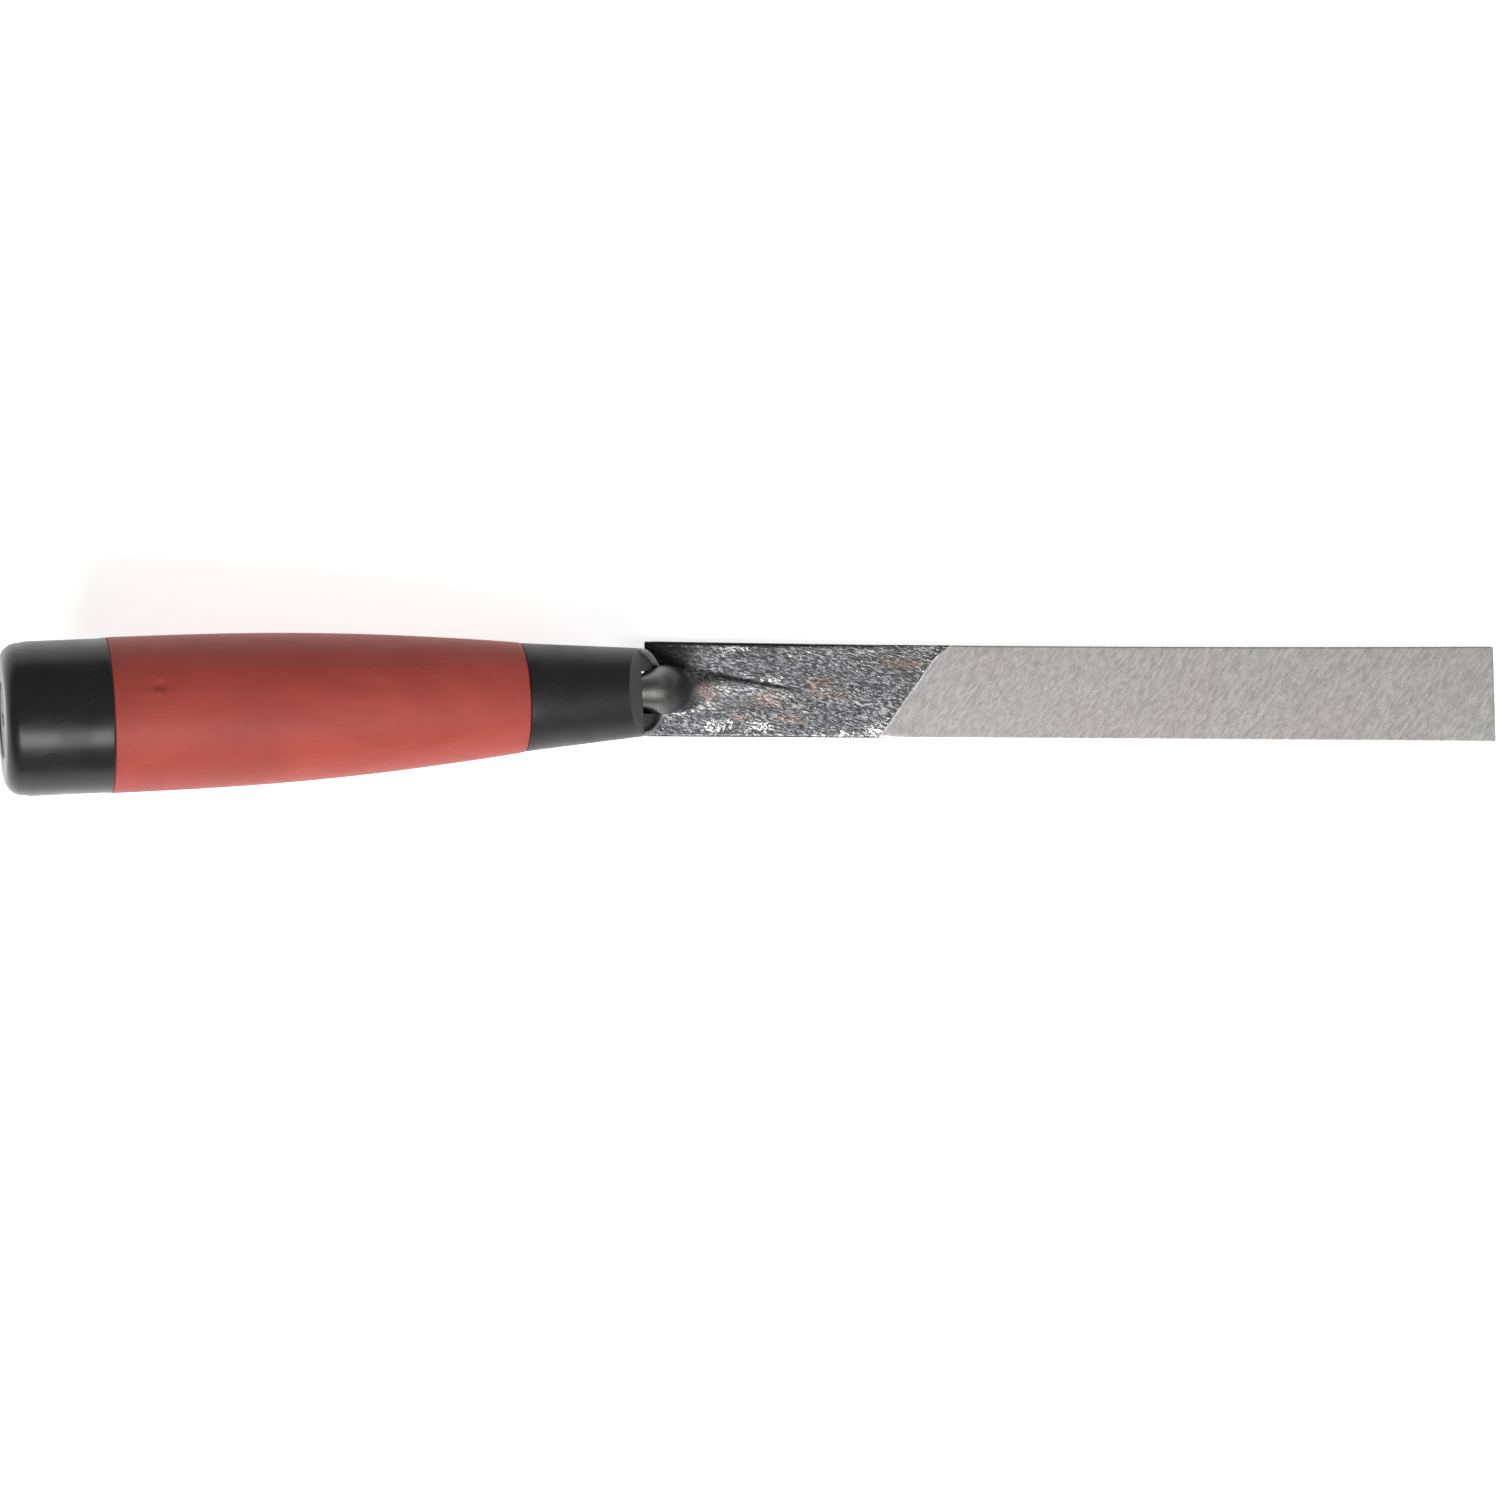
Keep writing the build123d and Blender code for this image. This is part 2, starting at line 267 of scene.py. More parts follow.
def settle(piece, name, nodes, matrix=None, angle=35.0):
    """Brings a finished piece to metres and to its place, smooths it, and ties it to the frame."""
    open_up(piece)
    bpy.ops.mesh.select_all(action="SELECT")
    bpy.ops.mesh.remove_doubles(threshold=1e-4)
    bpy.ops.mesh.normals_make_consistent(inside=False)
    take_up(piece)
    piece.matrix_world = Matrix.Scale(MM, 4) @ (matrix or Matrix.Identity(4)) @ piece.matrix_world
    bpy.ops.object.transform_apply(location=True, rotation=True, scale=True)
    bpy.ops.object.shade_smooth_by_angle(angle=math.radians(angle))
    piece.name = name
    piece.data.name = name
    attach(piece, "root")
    if nodes:
        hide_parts(*nodes)
    return piece


def start_block(size, centre=(0, 0, 0)):
    """Starts a piece with a block, in edit mode."""
    put_down()
    bpy.ops.mesh.primitive_cube_add(size=1, location=centre, scale=size)
    block = bpy.context.object
    bpy.ops.object.transform_apply(location=True, scale=True)
    open_up(block)
    return block


def start_round(radius, station, sides, fill="NGON"):
    """Starts a turned piece with a circle across the handle's axis, and picks it."""
    put_down()
    bpy.ops.mesh.primitive_circle_add(
        vertices=sides, radius=radius, fill_type=fill, location=(0, 0, station)
    )
    piece = bpy.context.object
    bpy.ops.object.transform_apply(location=True)
    open_up(piece)
    bpy.ops.mesh.select_all(action="SELECT")
    return piece


def carry_round(stations, radius, station):
    """Extrudes the picked circle through (radius, station) pairs."""
    for next_radius, next_station in stations:
        draw_out((0, 0, next_station - station))
        ratio = next_radius / radius
        swell(ratio, ratio, 1, (0, 0, next_station))
        radius, station = next_radius, next_station


def rounded(radius, station, size, towards, outward=1, steps=5):
    """(radius, station) pairs that round a corner of that size from a side to an end face.

    towards is +1 when the end face is at the butt end and -1 at the nose end.
    outward is -1 for an inner corner.
    """
    pairs = []
    for step in range(steps + 1):
        angle = math.radians(90 / steps * step)
        across = outward * size * (1 - math.cos(angle))
        along = towards * size * (1 - math.sin(angle))
        pairs.append((radius - across, station - along))
    return pairs


# ---- Materials -------------------------------------------------------------------------------------------
class Finish:
    """A material whose nodes are added one after another."""

    def __init__(self, name, **shader):
        self.material = bpy.data.materials.new(name)
        self.material.use_nodes = True
        self.tree = self.material.node_tree
        self.shader = next(n for n in self.tree.nodes if n.type == "BSDF_PRINCIPLED")
        for key, value in shader.items():
            self.shader.inputs[key.replace("_", " ")].default_value = value

    def set(self, socket, value):
        """Links a socket to another's output, or gives it a value."""
        if isinstance(value, bpy.types.NodeSocket):
            self.tree.links.new(value, socket)
        elif value is not None:
            socket.default_value = value

    def add(self, kind, *inputs, out=0, **settings):
        """Adds a node with its inputs by name or in order, and returns one of its outputs."""
        node = self.tree.nodes.new("ShaderNode" + kind)
        named = settings.pop("inputs", {})
        for key, value in settings.items():
            setattr(node, key, value)
        for index, value in enumerate(inputs):
            self.set(node.inputs[index], value)
        for key, value in named.items():
            self.set(node.inputs[key], value)
        return node.outputs[out]

    def millimetres(self, turn=0.0, stretch=(1, 1, 1)):
        """Object coordinates in millimetres, turned about Z, with patterns drawn out along the turned X."""
        inputs = {
            "Vector": self.add("TexCoord", out="Object"),
            "Rotation": (0, 0, turn),
            "Scale": tuple(MM * s for s in stretch),
        }
        return self.add("Mapping", inputs=inputs, vector_type="TEXTURE")

    def noise(self, vector, scale, detail=3.0, rough=0.55):
        """Noise from 0 to 1 with about that many features to a millimetre."""
        inputs = {"Vector": vector, "Scale": scale, "Detail": detail, "Roughness": rough}
        return self.add("TexNoise", inputs=inputs)

    def span(self, value, low, high, to_low=0.0, to_high=1.0):
        """Maps a value from one span to another, clamped, with smooth ends."""
        inputs = {"Value": value, "From Min": low, "From Max": high, "To Min": to_low, "To Max": to_high}
        return self.add("MapRange", inputs=inputs, interpolation_type="SMOOTHSTEP")

    def sum(self, operation, first, second, third=None):
        """Arithmetic on two or three values."""
        values = (first, second) if third is None else (first, second, third)
        return self.add("Math", *values, operation=operation)

    def blend(self, share, first, second, mode="MIX"):
        """Blends two colours."""
        node = self.tree.nodes.new("ShaderNodeMix")
        node.data_type = "RGBA"
        node.blend_type = mode
        colours = [s for s in node.inputs if s.type == "RGBA"]
        self.set(node.inputs["Factor"], share)
        for socket, value in zip(colours, (first, second)):
            if not isinstance(value, bpy.types.NodeSocket):
                value = (*value, 1.0)
            self.set(socket, value)
        return next(s for s in node.outputs if s.type == "RGBA")

    def spot(self, x, y, at_x, at_y, half_x, half_y):
        """1 in the middle of an oval spot, falling smoothly to 0 at its outline."""
        across = self.sum("DIVIDE", self.sum("SUBTRACT", x, at_x), half_x)
        along = self.sum("DIVIDE", self.sum("SUBTRACT", y, at_y), half_y)
        square = self.sum("MULTIPLY", along, along)
        return self.span(self.sum("MULTIPLY_ADD", across, across, square), 1.0, 0.2)

    def spots(self, x, y, places, least=0.0):
        """The strongest of several oval spots at each point, or least where that is more."""
        for place in places:
            least = self.sum("MAXIMUM", least, self.spot(x, y, *place))
        return least

    def mix(self, share, first, second):
        """Blends two numbers."""
        return self.add("Mix", inputs={"Factor": share, "A": first, "B": second}, data_type="FLOAT")

    def bump(self, height, depth, normal=None):
        """A bump whose full height is depth millimetres."""
        inputs = {"Strength": 1.0, "Distance": depth * MM, "Height": height, "Normal": normal}
        return self.add("Bump", inputs=inputs, out="Normal")

    def wire(self, **sockets):
        """Links values to the shader's own sockets."""
        for key, value in sockets.items():
            self.set(self.shader.inputs[key.replace("_", " ")], value)
        return self.material


def shaded(rgb, factor, lift=0.0):
    """A darker or lighter shade of a colour."""
    return [min(1.0, c * factor + lift) for c in rgb]


# Places on the blade, in millimetres: middle X and Y, half length, half width.
HEAT_TINTS = (
    (-72.7, -0.5, 2.8, 2.3),
    (-61.5, -2.2, 4.2, 1.9),
    (-50.8, 1.6, 4.4, 1.5),
    (-56.2, -5.8, 3.6, 1.4),
    (-34.3, 5.6, 5.4, 1.9),
    (-66.0, -6.0, 2.4, 1.0),
    (-49.0, -0.4, 6.0, 0.8),
)
# Painted shadow: the dark spot that the nose and neck cast on the heel.
NECK_SHADOW_PAINT = ((-81.5, 6.6, 8.0, 4.6),)
# Painted shade: dark spots at the foot of the neck's steep front and on the rib's lower slope, where it
# faces the key light.
PAINTED_SHADE_PLACES = (
    (-76.4, -0.2, 2.6, 4.0),
    (-67.5, -2.4, 6.5, 2.2),
)
FLAKED = (
    (-71.0, -7.4, 4.8, 1.5),
    (-62.6, -7.6, 3.6, 1.6),
    (-67.6, 8.2, 4.2, 0.9),
    (-60.4, 2.2, 3.2, 0.7),
    (-38.6, -8.0, 2.4, 1.6),
    (-47.0, -9.2, 7.0, 0.6),
)


def steel_finish(finish, blade):
    """Forge scale at the heel and a ground face towards the tip, with a satin neck, painted shade on the
    neck's front and painted shadow near the heel.
    """
    make = Finish("forged_steel", Metallic=1.0)
    spot = make.millimetres()
    parts = make.tree.nodes.new("ShaderNodeSeparateXYZ")
    make.set(parts.inputs[0], spot)
    x, y, z = parts.outputs
    wander = make.sum("SUBTRACT", make.noise(spot, 0.8, 4.0, 0.7), 0.5)
    lean = make.sum("MULTIPLY", y, GRIND_RUN)
    corner = make.sum("MAXIMUM", make.sum("SUBTRACT", y, GRIND_CORNER), 0.0)
    lean = make.sum("MULTIPLY_ADD", corner, GRIND_CORNER_RUN, lean)
    start = make.span(z, 0.2, 0.5, SOLE_GRIND_START, blade.grind_start / MM)
    ahead = make.sum("SUBTRACT", make.sum("SUBTRACT", x, start), lean)
    ahead = make.sum("ADD", ahead, wander)
    ground = make.span(ahead, 0.0, 0.35)
    lip = make.sum("MULTIPLY", make.span(ahead, -0.15, 0.1), make.span(ahead, 0.45, 0.2))

    # Ground face: scratches that run with the boundary, and faint heat tints.
    fine = make.noise(make.millimetres(GRIND_ANGLE, (3.5, 1, 2)), 1.9, 4.0, 0.8)
    coarse = make.noise(make.millimetres(GRIND_ANGLE, (2.5, 1, 2)), 0.9, 4.0, 0.7)
    grain = make.noise(spot, 3.0, 4.0, 0.75)
    cloud = make.noise(spot, 0.06, 2.0)
    steel = finish.steel
    tone = make.blend(make.span(fine, 0.35, 0.65), shaded(steel, 0.81), shaded(steel, 1.17))
    tone = make.blend(make.span(grain, 0.5, 0.66, 0.0, 0.25), tone, shaded(steel, 0.7))
    tinted = make.blend(make.span(cloud, 0.35, 0.65), (0.985, 1.0, 0.975), (1.0, 0.965, 0.96))
    bright = make.blend(1.0, tone, tinted, "MULTIPLY")

    # Forge scale: fine mottled oxide drawn along the blade, with bright flecks and brown patches, and
    # painted shade and shadow near the neck and along the edges.
    drawn = make.millimetres(-0.3, (3.2, 1, 1))
    mottle = make.noise(drawn, 3.0, 3.0, 0.75)
    shade = make.noise(drawn, 0.3, 3.0, 0.65)
    flake = make.noise(make.millimetres(-0.3, (1.6, 1, 1)), 2.1, 2.0, 0.7)
    dark = finish.scale
    oxide = make.blend(make.span(mottle, 0.43, 0.65), shaded(dark, 0.36), shaded(dark, 2.6))
    oxide = make.blend(make.span(shade, 0.38, 0.62, 0.45, 0.0), oxide, shaded(dark, 0.5))
    stray_x = make.sum("MULTIPLY_ADD", make.noise(spot, 0.5, 3.0, 0.7), 7.0, make.sum("SUBTRACT", x, 3.5))
    stray_y = make.sum("MULTIPLY_ADD", make.noise(drawn, 0.6, 3.0, 0.7), 5.0, make.sum("SUBTRACT", y, 2.5))
    brown = make.spots(stray_x, stray_y, HEAT_TINTS)
    brown = make.sum("MULTIPLY", brown, make.span(mottle, 0.44, 0.6, 0.2, 1.0))
    oxide = make.blend(make.sum("MULTIPLY", brown, 0.55), oxide, tuple(finish.rust))
    flaked = make.spots(stray_x, stray_y, FLAKED, make.span(y, -7.6, -9.0, 0.0, 0.1))
    fleck = make.span(make.sum("MULTIPLY_ADD", flaked, 0.16, flake), 0.66, 0.7)
    oxide = make.blend(fleck, oxide, (0.97, 0.96, 0.95))
    # Painted shade along the +Y edge towards the heel, also darkening the -Y edge, and the painted shadow
    # of the nose and neck on the heel.
    edge = make.sum("MULTIPLY", make.span(y, 8.3, 9.0), make.span(x, -20.0, -60.0))
    edges = make.sum("MAXIMUM", edge, make.span(y, -9.1, -9.35, 0.0, 0.7))
    painted_shadow = make.sum("MULTIPLY", make.spots(stray_x, stray_y, NECK_SHADOW_PAINT, edges), 0.88)
    oxide = make.blend(painted_shadow, oxide, shaded(dark, 0.12))
    # Painted shade at the neck's front foot and on the rib's lower slope.
    painted_shade_share = make.sum("MULTIPLY", make.spots(x, y, PAINTED_SHADE_PLACES), 0.65)
    oxide = make.blend(painted_shade_share, oxide, shaded(dark, 0.4))
    neck = make.span(z, 4.6, 6.6)
    satin = make.blend(make.noise(spot, 0.5, 4.0), (0.10, 0.10, 0.099), (0.185, 0.184, 0.18))
    # Painted shade on the steep front of the neck's bend.
    front = make.sum("MULTIPLY", make.span(x, -82.8, -80.0), 0.7)
    satin = make.blend(front, satin, (0.02, 0.02, 0.021))
    oxide = make.blend(neck, oxide, satin)

    surface = make.blend(ground, oxide, bright)
    surface = make.blend(make.sum("MULTIPLY", lip, 0.5), surface, (0.9, 0.9, 0.89))
    rough_scale = make.mix(neck, make.span(mottle, 0.35, 0.65, 0.55, 0.36), 0.38)
    rough_ground = make.span(coarse, 0.3, 0.7, 0.42, 0.48)
    roughness = make.mix(ground, rough_scale, rough_ground)
    scaled = make.sum("MULTIPLY_ADD", shade, 1.2, mottle)
    calm = make.span(z, 4.6, 6.6, 1.0, 0.12)
    height = make.mix(ground, make.sum("MULTIPLY", scaled, calm), make.sum("MULTIPLY", fine, 0.22))
    return make.wire(Base_Color=surface, Roughness=roughness, Normal=make.bump(height, 0.1))


def grip_finish(finish):
    """Soft-touch moulded grip: matte, with a fine skin, faint flow clouds and a few specks."""
    make = Finish("soft_grip", Specular_IOR_Level=0.2)
    spot = make.millimetres()
    red = finish.grip
    cloud = make.noise(make.millimetres(0.0, (2, 1, 1)), 0.11, 3.0)
    skin = make.noise(spot, 3.2, 3.0, 0.6)
    speck = make.span(make.noise(spot, 1.3, 2.0, 0.5), 0.74, 0.8)
    tone = make.blend(make.span(cloud, 0.3, 0.7), shaded(red, 0.9), shaded(red, 1.1))
    tone = make.blend(make.span(skin, 0.35, 0.7, 0.0, 0.25), tone, shaded(red, 0.75))
    tone = make.blend(make.sum("MULTIPLY", speck, 0.6), tone, shaded(red, 1.7, 0.05))
    rough = make.span(skin, 0.3, 0.7, 0.46, 0.56)
    wave = make.noise(spot, 0.14, 2.0)
    normal = make.bump(wave, 0.12)
    return make.wire(Base_Color=tone, Roughness=rough, Normal=make.bump(skin, 0.015, normal))


def black_finish(name, finish, rough, skin_depth, painted_lift=1.0):
    """Moulded black plastic with a fine skin and light handling scuffs, made greyer by the last argument as
    painted light.
    """
    make = Finish(name, Specular_IOR_Level=0.3)
    spot = make.millimetres()
    black = shaded(finish.black, painted_lift)
    skin = make.noise(spot, 3.6, 3.0, 0.6)
    scuff = make.noise(make.millimetres(0.4, (10, 1, 1)), 1.2, 4.0, 0.7)
    haze = make.noise(spot, 0.12, 3.0)
    worn = make.sum("MULTIPLY", make.span(scuff, 0.5, 0.8), make.span(haze, 0.3, 0.75))
    tone = make.blend(make.sum("MULTIPLY", worn, 0.3), black, shaded(black, 2.5, 0.01))
    dust = make.span(make.noise(spot, 2.2, 2.0, 0.5), 0.76, 0.82)
    tone = make.blend(make.sum("MULTIPLY", dust, 0.5), tone, (0.12, 0.12, 0.12))
    spread = make.span(haze, 0.3, 0.7, rough - 0.04, rough + 0.05)
    roughness = make.sum("MULTIPLY_ADD", worn, 0.12, spread)
    wave = make.bump(make.noise(spot, 0.12, 1.0), 0.05)
    return make.wire(Base_Color=tone, Roughness=roughness, Normal=make.bump(skin, skin_depth, wave))


# ---- Forging ---------------------------------------------------------------------------------------------
GRIND_ANGLE = math.radians(55.2)  # between the grinding boundary and the blade's length
GRIND_RUN = 1 / math.tan(GRIND_ANGLE)
GRIND_CORNER = 6.9  # above this Y the boundary leans further to the tip
GRIND_CORNER_RUN = 0.65
GRIND_RAMP = 0.14  # length of the short slope down to the ground face
GRIND_ZONE = (-48.0, -10.0)  # along the blade, the stretch that holds the whole boundary
GRIND_OVERLAP = 0.6  # how far the two cuts of the boundary overlap at its corner
SOLE_GRIND_START = -74.0
FORGED_END = 8.0  # how far before the ground face the heel's rounder edges end
TOP_SIDE = 1.0  # what lies higher is on the upper face
EDGE_ROW = 1.2  # from the edge to the row that keeps the edge's shape narrow
NECK_FRONT, NECK_BACK, NECK_SIDE = 10.8, 1.0, 4.3  # the neck's root, from the heel and the centre line
RIB_LIP = 0.1  # the blade's face stands up a little beside the rib's steep foot
RIB_DIP = 0.08  # how deep that foot is pressed into the face
CRISP_RIB = 0.5  # below this height the foot fades out with the rib
ROOT_DRAW = 0.88  # draws the round in to the root's size
ROOT_GAP = 0.6  # from the neck's side to the row that keeps the blade flat beside it
RIB_END = 32.0
NECK_FOOT = Vector((-80.1, 0, 1.0))
NECK_LEAN = math.radians(84)  # from the blade's heel side up to the neck at its foot
NECK_PULL = 8.0  # how far each end of the neck holds its direction
NECK_SAG = Vector((0, 0, 0.8))  # how far the bend hangs below the handle's line

# Rib: distance from the heel, then Y of its lower foot, ridge and upper foot, and its height.
RIB = (
    (13.4, -3.9, 1.3, 3.5, 1.1),
    (16.7, -3.5, 1.2, 2.75, 0.7),
    (20.5, -2.9, 0.9, 2.0, 0.48),
    (24.5, -2.3, 0.4, 1.3, 0.32),
    (28.5, -1.9, -0.1, 0.7, 0.14),
    (RIB_END, -1.4, -0.5, 0.2, 0.0),
)
FRONT_LIFT = 2.2  # how far the front of the neck's root is drawn up, where the rib starts
# Where the bar is divided, as distances from the heel.
ROWS = (
    0.6,
    *(NECK_BACK + (NECK_FRONT - NECK_BACK) * i / 4 for i in range(5)),
    *(row[0] for row in RIB),
    38.0,
    52.0,
    75.0,
    100.0,
    125.0,
    150.0,
    170.0,
)
# Neck: share of the way from its root to the handle, half width, half thickness.
NECK = (
    (0.22, 4.85, 4.75),
    (0.32, 4.75, 4.35),
    (0.41, 4.4, 3.85),
    (0.5, 3.75, 3.4),
    (0.6, 3.3, 2.95),
    (0.7, 3.05, 2.75),
    (0.85, 2.9, 2.75),
    (1.0, 2.9, 2.75),
)
CORE_FRONT = 9.0
TANG_END = 86.0
TANG_SIZE = (3.9, 3.0)
TANG_ROOT = 1.0  # how far the tang starts inside the neck
TANG_ROUND = 0.5
HAMMERED = (-85.0, -40.0)  # along the blade, the stretch with hammer marks
HAMMERED_HALF = 8.0  # and how far they reach to each side


def grind_ahead(point, start):
    """How far a point lies past the grinding boundary, along the blade."""
    corner = max(0.0, point.y - GRIND_CORNER)
    return point.x - start - point.y * GRIND_RUN - corner * GRIND_CORNER_RUN


def neck_path(share):
    """Point and direction of the neck's centre line, from its root on the blade to the handle's core."""
    up = Vector((-math.cos(NECK_LEAN), 0, math.sin(NECK_LEAN)))
    end = NOSE_POINT + HANDLE_IN * CORE_FRONT
    knots = (NECK_FOOT, NECK_FOOT + up * NECK_PULL, end - HANDLE_IN * NECK_PULL - NECK_SAG, end)
    left = 1 - share
    point = sum(
        (k * w for k, w in zip(knots, (left**3, 3 * left**2 * share, 3 * left * share**2, share**3))),
        Vector(),
    )
    way = (
        (knots[1] - knots[0]) * left**2
        + (knots[2] - knots[1]) * 2 * left * share
        + (knots[3] - knots[2]) * share**2
    )
    return point, way.normalized()


class JOINTER_OT_forging(bpy.types.Operator):
    """Forges the blade, its rib, the cranked neck and the tang as one piece"""

    bl_idname = "jointer.forging"
    bl_label = "Blade forging"

    def execute(self, context):
        blade = context.scene.jointer_blade
        piece = self.plate(blade)
        self.trim_outline(blade)
        self.ease_rim(blade)
        self.round_root(blade)
        self.raise_rib(blade)
        self.draw_neck(blade)
        finish_with(piece, "SUBSURF", levels=2, render_levels=2)
        self.add_tang(piece)
        self.grind(piece, blade)
        self.hammer(piece, blade)
        settle(piece, "forged_blade", ["blade_forging"], angle=30)
        piece.data.materials.append(steel_finish(context.scene.jointer_finish, blade))
        return {"FINISHED"}

    def plate(self, blade):
        """A bar divided where the neck, the rib and the edges need it."""
        long, wide, thick = blade.length / MM, blade.width / MM, blade.heel / MM
        piece = start_block((long, wide, thick), (0, 0, thick / 2))
        heel = -long / 2
        for distance in ROWS:
            cut((heel + distance, 0, 0), (1, 0, 0))
        for side in (-1, 1):
            for y in (NECK_SIDE / 2, NECK_SIDE, NECK_SIDE + ROOT_GAP, wide / 2 - EDGE_ROW):
                cut((0, side * y, 0), (0, 1, 0))
        cut((0, 0, 0), (0, 1, 0))
        pick("VERT", lambda p: p.z > thick / 2)
        wedge = math.degrees(math.atan((blade.heel - blade.tip) / blade.length))
        turn_loop(wedge, (heel, 0, thick))
        return piece

    def trim_outline(self, blade):
        """Hollows the +Y edge and sets the tip out of square."""
        long, wide = blade.length / MM, blade.width / MM
        for distance in (0.0, *ROWS, long):
            at = distance - long / 2
            share = distance / long
            flare = 0.15 + 0.05 * share - 4 * blade.waist / MM * share * (1 - share)
            pick("VERT", lambda p: abs(p.x - at) < SMALL and p.y > wide / 2 - EDGE_ROW - SMALL)
            shift(y=flare)
        pick("VERT", lambda p: p.x > long / 2 - SMALL)
        bpy.ops.transform.rotate(value=-blade.skew, orient_axis="Z", center_override=(long / 2, 0, 0))

    def ease_rim(self, blade):
        """Rounds the corners, the forged edges at the heel and, less, the ground edges."""
        long, wide = blade.length / MM, blade.width / MM
        as_forged = blade.grind_start / MM - FORGED_END

        def corner(p):
            return abs(p.x) > long / 2 - 0.8 and abs(p.y) > wide / 2 - 0.3

        pick("EDGE", corner)
        ease(blade.corner / MM, 3)
        pick_fold(lambda p: p.x < as_forged and p.z > TOP_SIDE)
        ease(blade.heel_round / MM, 3)
        pick_fold(lambda p: p.x > as_forged - 1 or p.z < SMALL)
        ease(blade.edge_round / MM, 2)

    def round_root(self, blade):
        """Draws the square of faces under the neck into a round, and lifts its front."""
        middle, half = self.root(blade)
        reach = half * 0.98

        def brim(p):
            along, across = abs(p.x - middle) / half, abs(p.y) / NECK_SIDE
            return p.z > TOP_SIDE and 0.95 < max(along, across) < 1.02

        def inside(p, n):
            return p.z > TOP_SIDE and n.z > 0.9 and (p.xy - Vector((middle, 0))).length < half

        def front(p):
            return p.z > TOP_SIDE and abs(p.y) < SMALL and abs(p.x - middle - reach) < 0.6

        def beside_front(p):
            ahead = middle + reach * 0.8 < p.x < middle + half + 0.5
            return p.z > TOP_SIDE and 1 < abs(p.y) < 2.4 and ahead

        pick("VERT", brim)
        bpy.ops.transform.tosphere(value=1.0)
        pick("FACE", inside)
        swell(ROOT_DRAW, ROOT_DRAW, 1, (middle, 0, blade.heel / MM))
        pick("VERT", front)
        shift(z=FRONT_LIFT)
        pick("VERT", beside_front)
        shift(z=FRONT_LIFT * 0.8)

    def root(self, blade):
        """Where the middle of the neck's root lies along the blade, and half its length."""
        return (NECK_FRONT + NECK_BACK - blade.length / MM) / 2, (NECK_FRONT - NECK_BACK) / 2

    def raise_rib(self, blade):
        """Pulls the middle of the top up into a tapering rib, steep on +Y and gentle on the other side."""
        half = NECK_SIDE / 2
        for distance, low, ridge, high, height in RIB:
            at = distance - blade.length / MM / 2
            crisp = min(1.0, height / CRISP_RIB)
            columns = (
                (-NECK_SIDE - ROOT_GAP, low - 0.7, 0.0),
                (-NECK_SIDE, low, 0.0),
                (-half, (low + ridge) / 2, height * 0.5),
                (0.0, ridge, height),
                (half, ridge + (high - ridge) * 0.7, height * 0.8),
                (NECK_SIDE, high, -RIB_DIP * crisp),
                (NECK_SIDE + ROOT_GAP, high + 0.6, RIB_LIP * crisp),
            )
            for y, goal, lift in columns:
                pick("VERT", lambda p: p.z > TOP_SIDE and abs(p.x - at) < SMALL and abs(p.y - y) < NEAR)
                shift(0, goal - y, lift)

    def draw_neck(self, blade):
        """Extrudes the neck from its root along the crank to the handle's core."""
        middle, half = self.root(blade)
        centre = Vector((middle, 0))
        pick("FACE", lambda p, n: p.z > TOP_SIDE and (p.xy - centre).length < half * 0.95)
        last, last_lean = Vector((middle, 0, blade.heel / MM)), 0.0
        width, thick = NECK_SIDE, half
        for share, half_width, half_thick in NECK:
            point, way = neck_path(share)
            lean = math.degrees(math.atan2(-way.x, way.z))
            draw_out(point - last)
            if share == NECK[0][0]:
                swell(1, 1, 0, point)
            turn_loop(-(lean - last_lean), point)
            swell(half_thick / thick, half_width / width, half_thick / thick, point)
            last, last_lean, width, thick = point, lean, half_width, half_thick

    def add_tang(self, piece):
        """Joins the tapering square tang to the neck."""
        run = TANG_END - CORE_FRONT + TANG_ROOT
        front, rear = TANG_SIZE
        bar = start_block((front, front, run))
        pick("FACE", lambda p, n: n.z > 0.9)
        swell(rear / front, rear / front, 1, (0, 0, run / 2))
        pick("EDGE", lambda p: True)
        bpy.ops.mesh.bevel(offset=TANG_ROUND, segments=3)
        take_up(bar)
        bar.matrix_world = handle_matrix() @ Matrix.Translation((0, 0, TANG_END - run / 2))
        bpy.ops.object.transform_apply(location=True, rotation=True)
        combine(piece, bar, "UNION")

    def grind(self, piece, blade):
        """Lowers the ground part of the upper face, with a short ramp at its slanted start."""
        start = blade.grind_start / MM
        slant = Vector((math.sin(GRIND_ANGLE), -math.cos(GRIND_ANGLE), 0))
        steep = math.atan(1 / (GRIND_RUN + GRIND_CORNER_RUN))
        corner = Vector((math.sin(steep), -math.cos(steep), 0))
        turn = Vector((start + GRIND_CORNER * GRIND_RUN, GRIND_CORNER, 0))
        near, far = GRIND_ZONE
        open_up(piece)
        for ahead in (0.0, GRIND_RAMP):
            along = Vector((ahead, 0, 0))
            pick("FACE", lambda p, n: p.y < GRIND_CORNER + GRIND_OVERLAP and near < p.x < far)
            cut(Vector((start, 0, 0)) + along, slant, picked=True)
            pick("FACE", lambda p, n: p.y > GRIND_CORNER - GRIND_OVERLAP and near < p.x < far)
            cut(turn + along, corner, picked=True)
        above = blade.tip / MM / 2
        pick("VERT", lambda p: p.z > above and p.x > near and grind_ahead(p, start) > GRIND_RAMP * 0.9)
        shift(z=-blade.grind_step / MM)

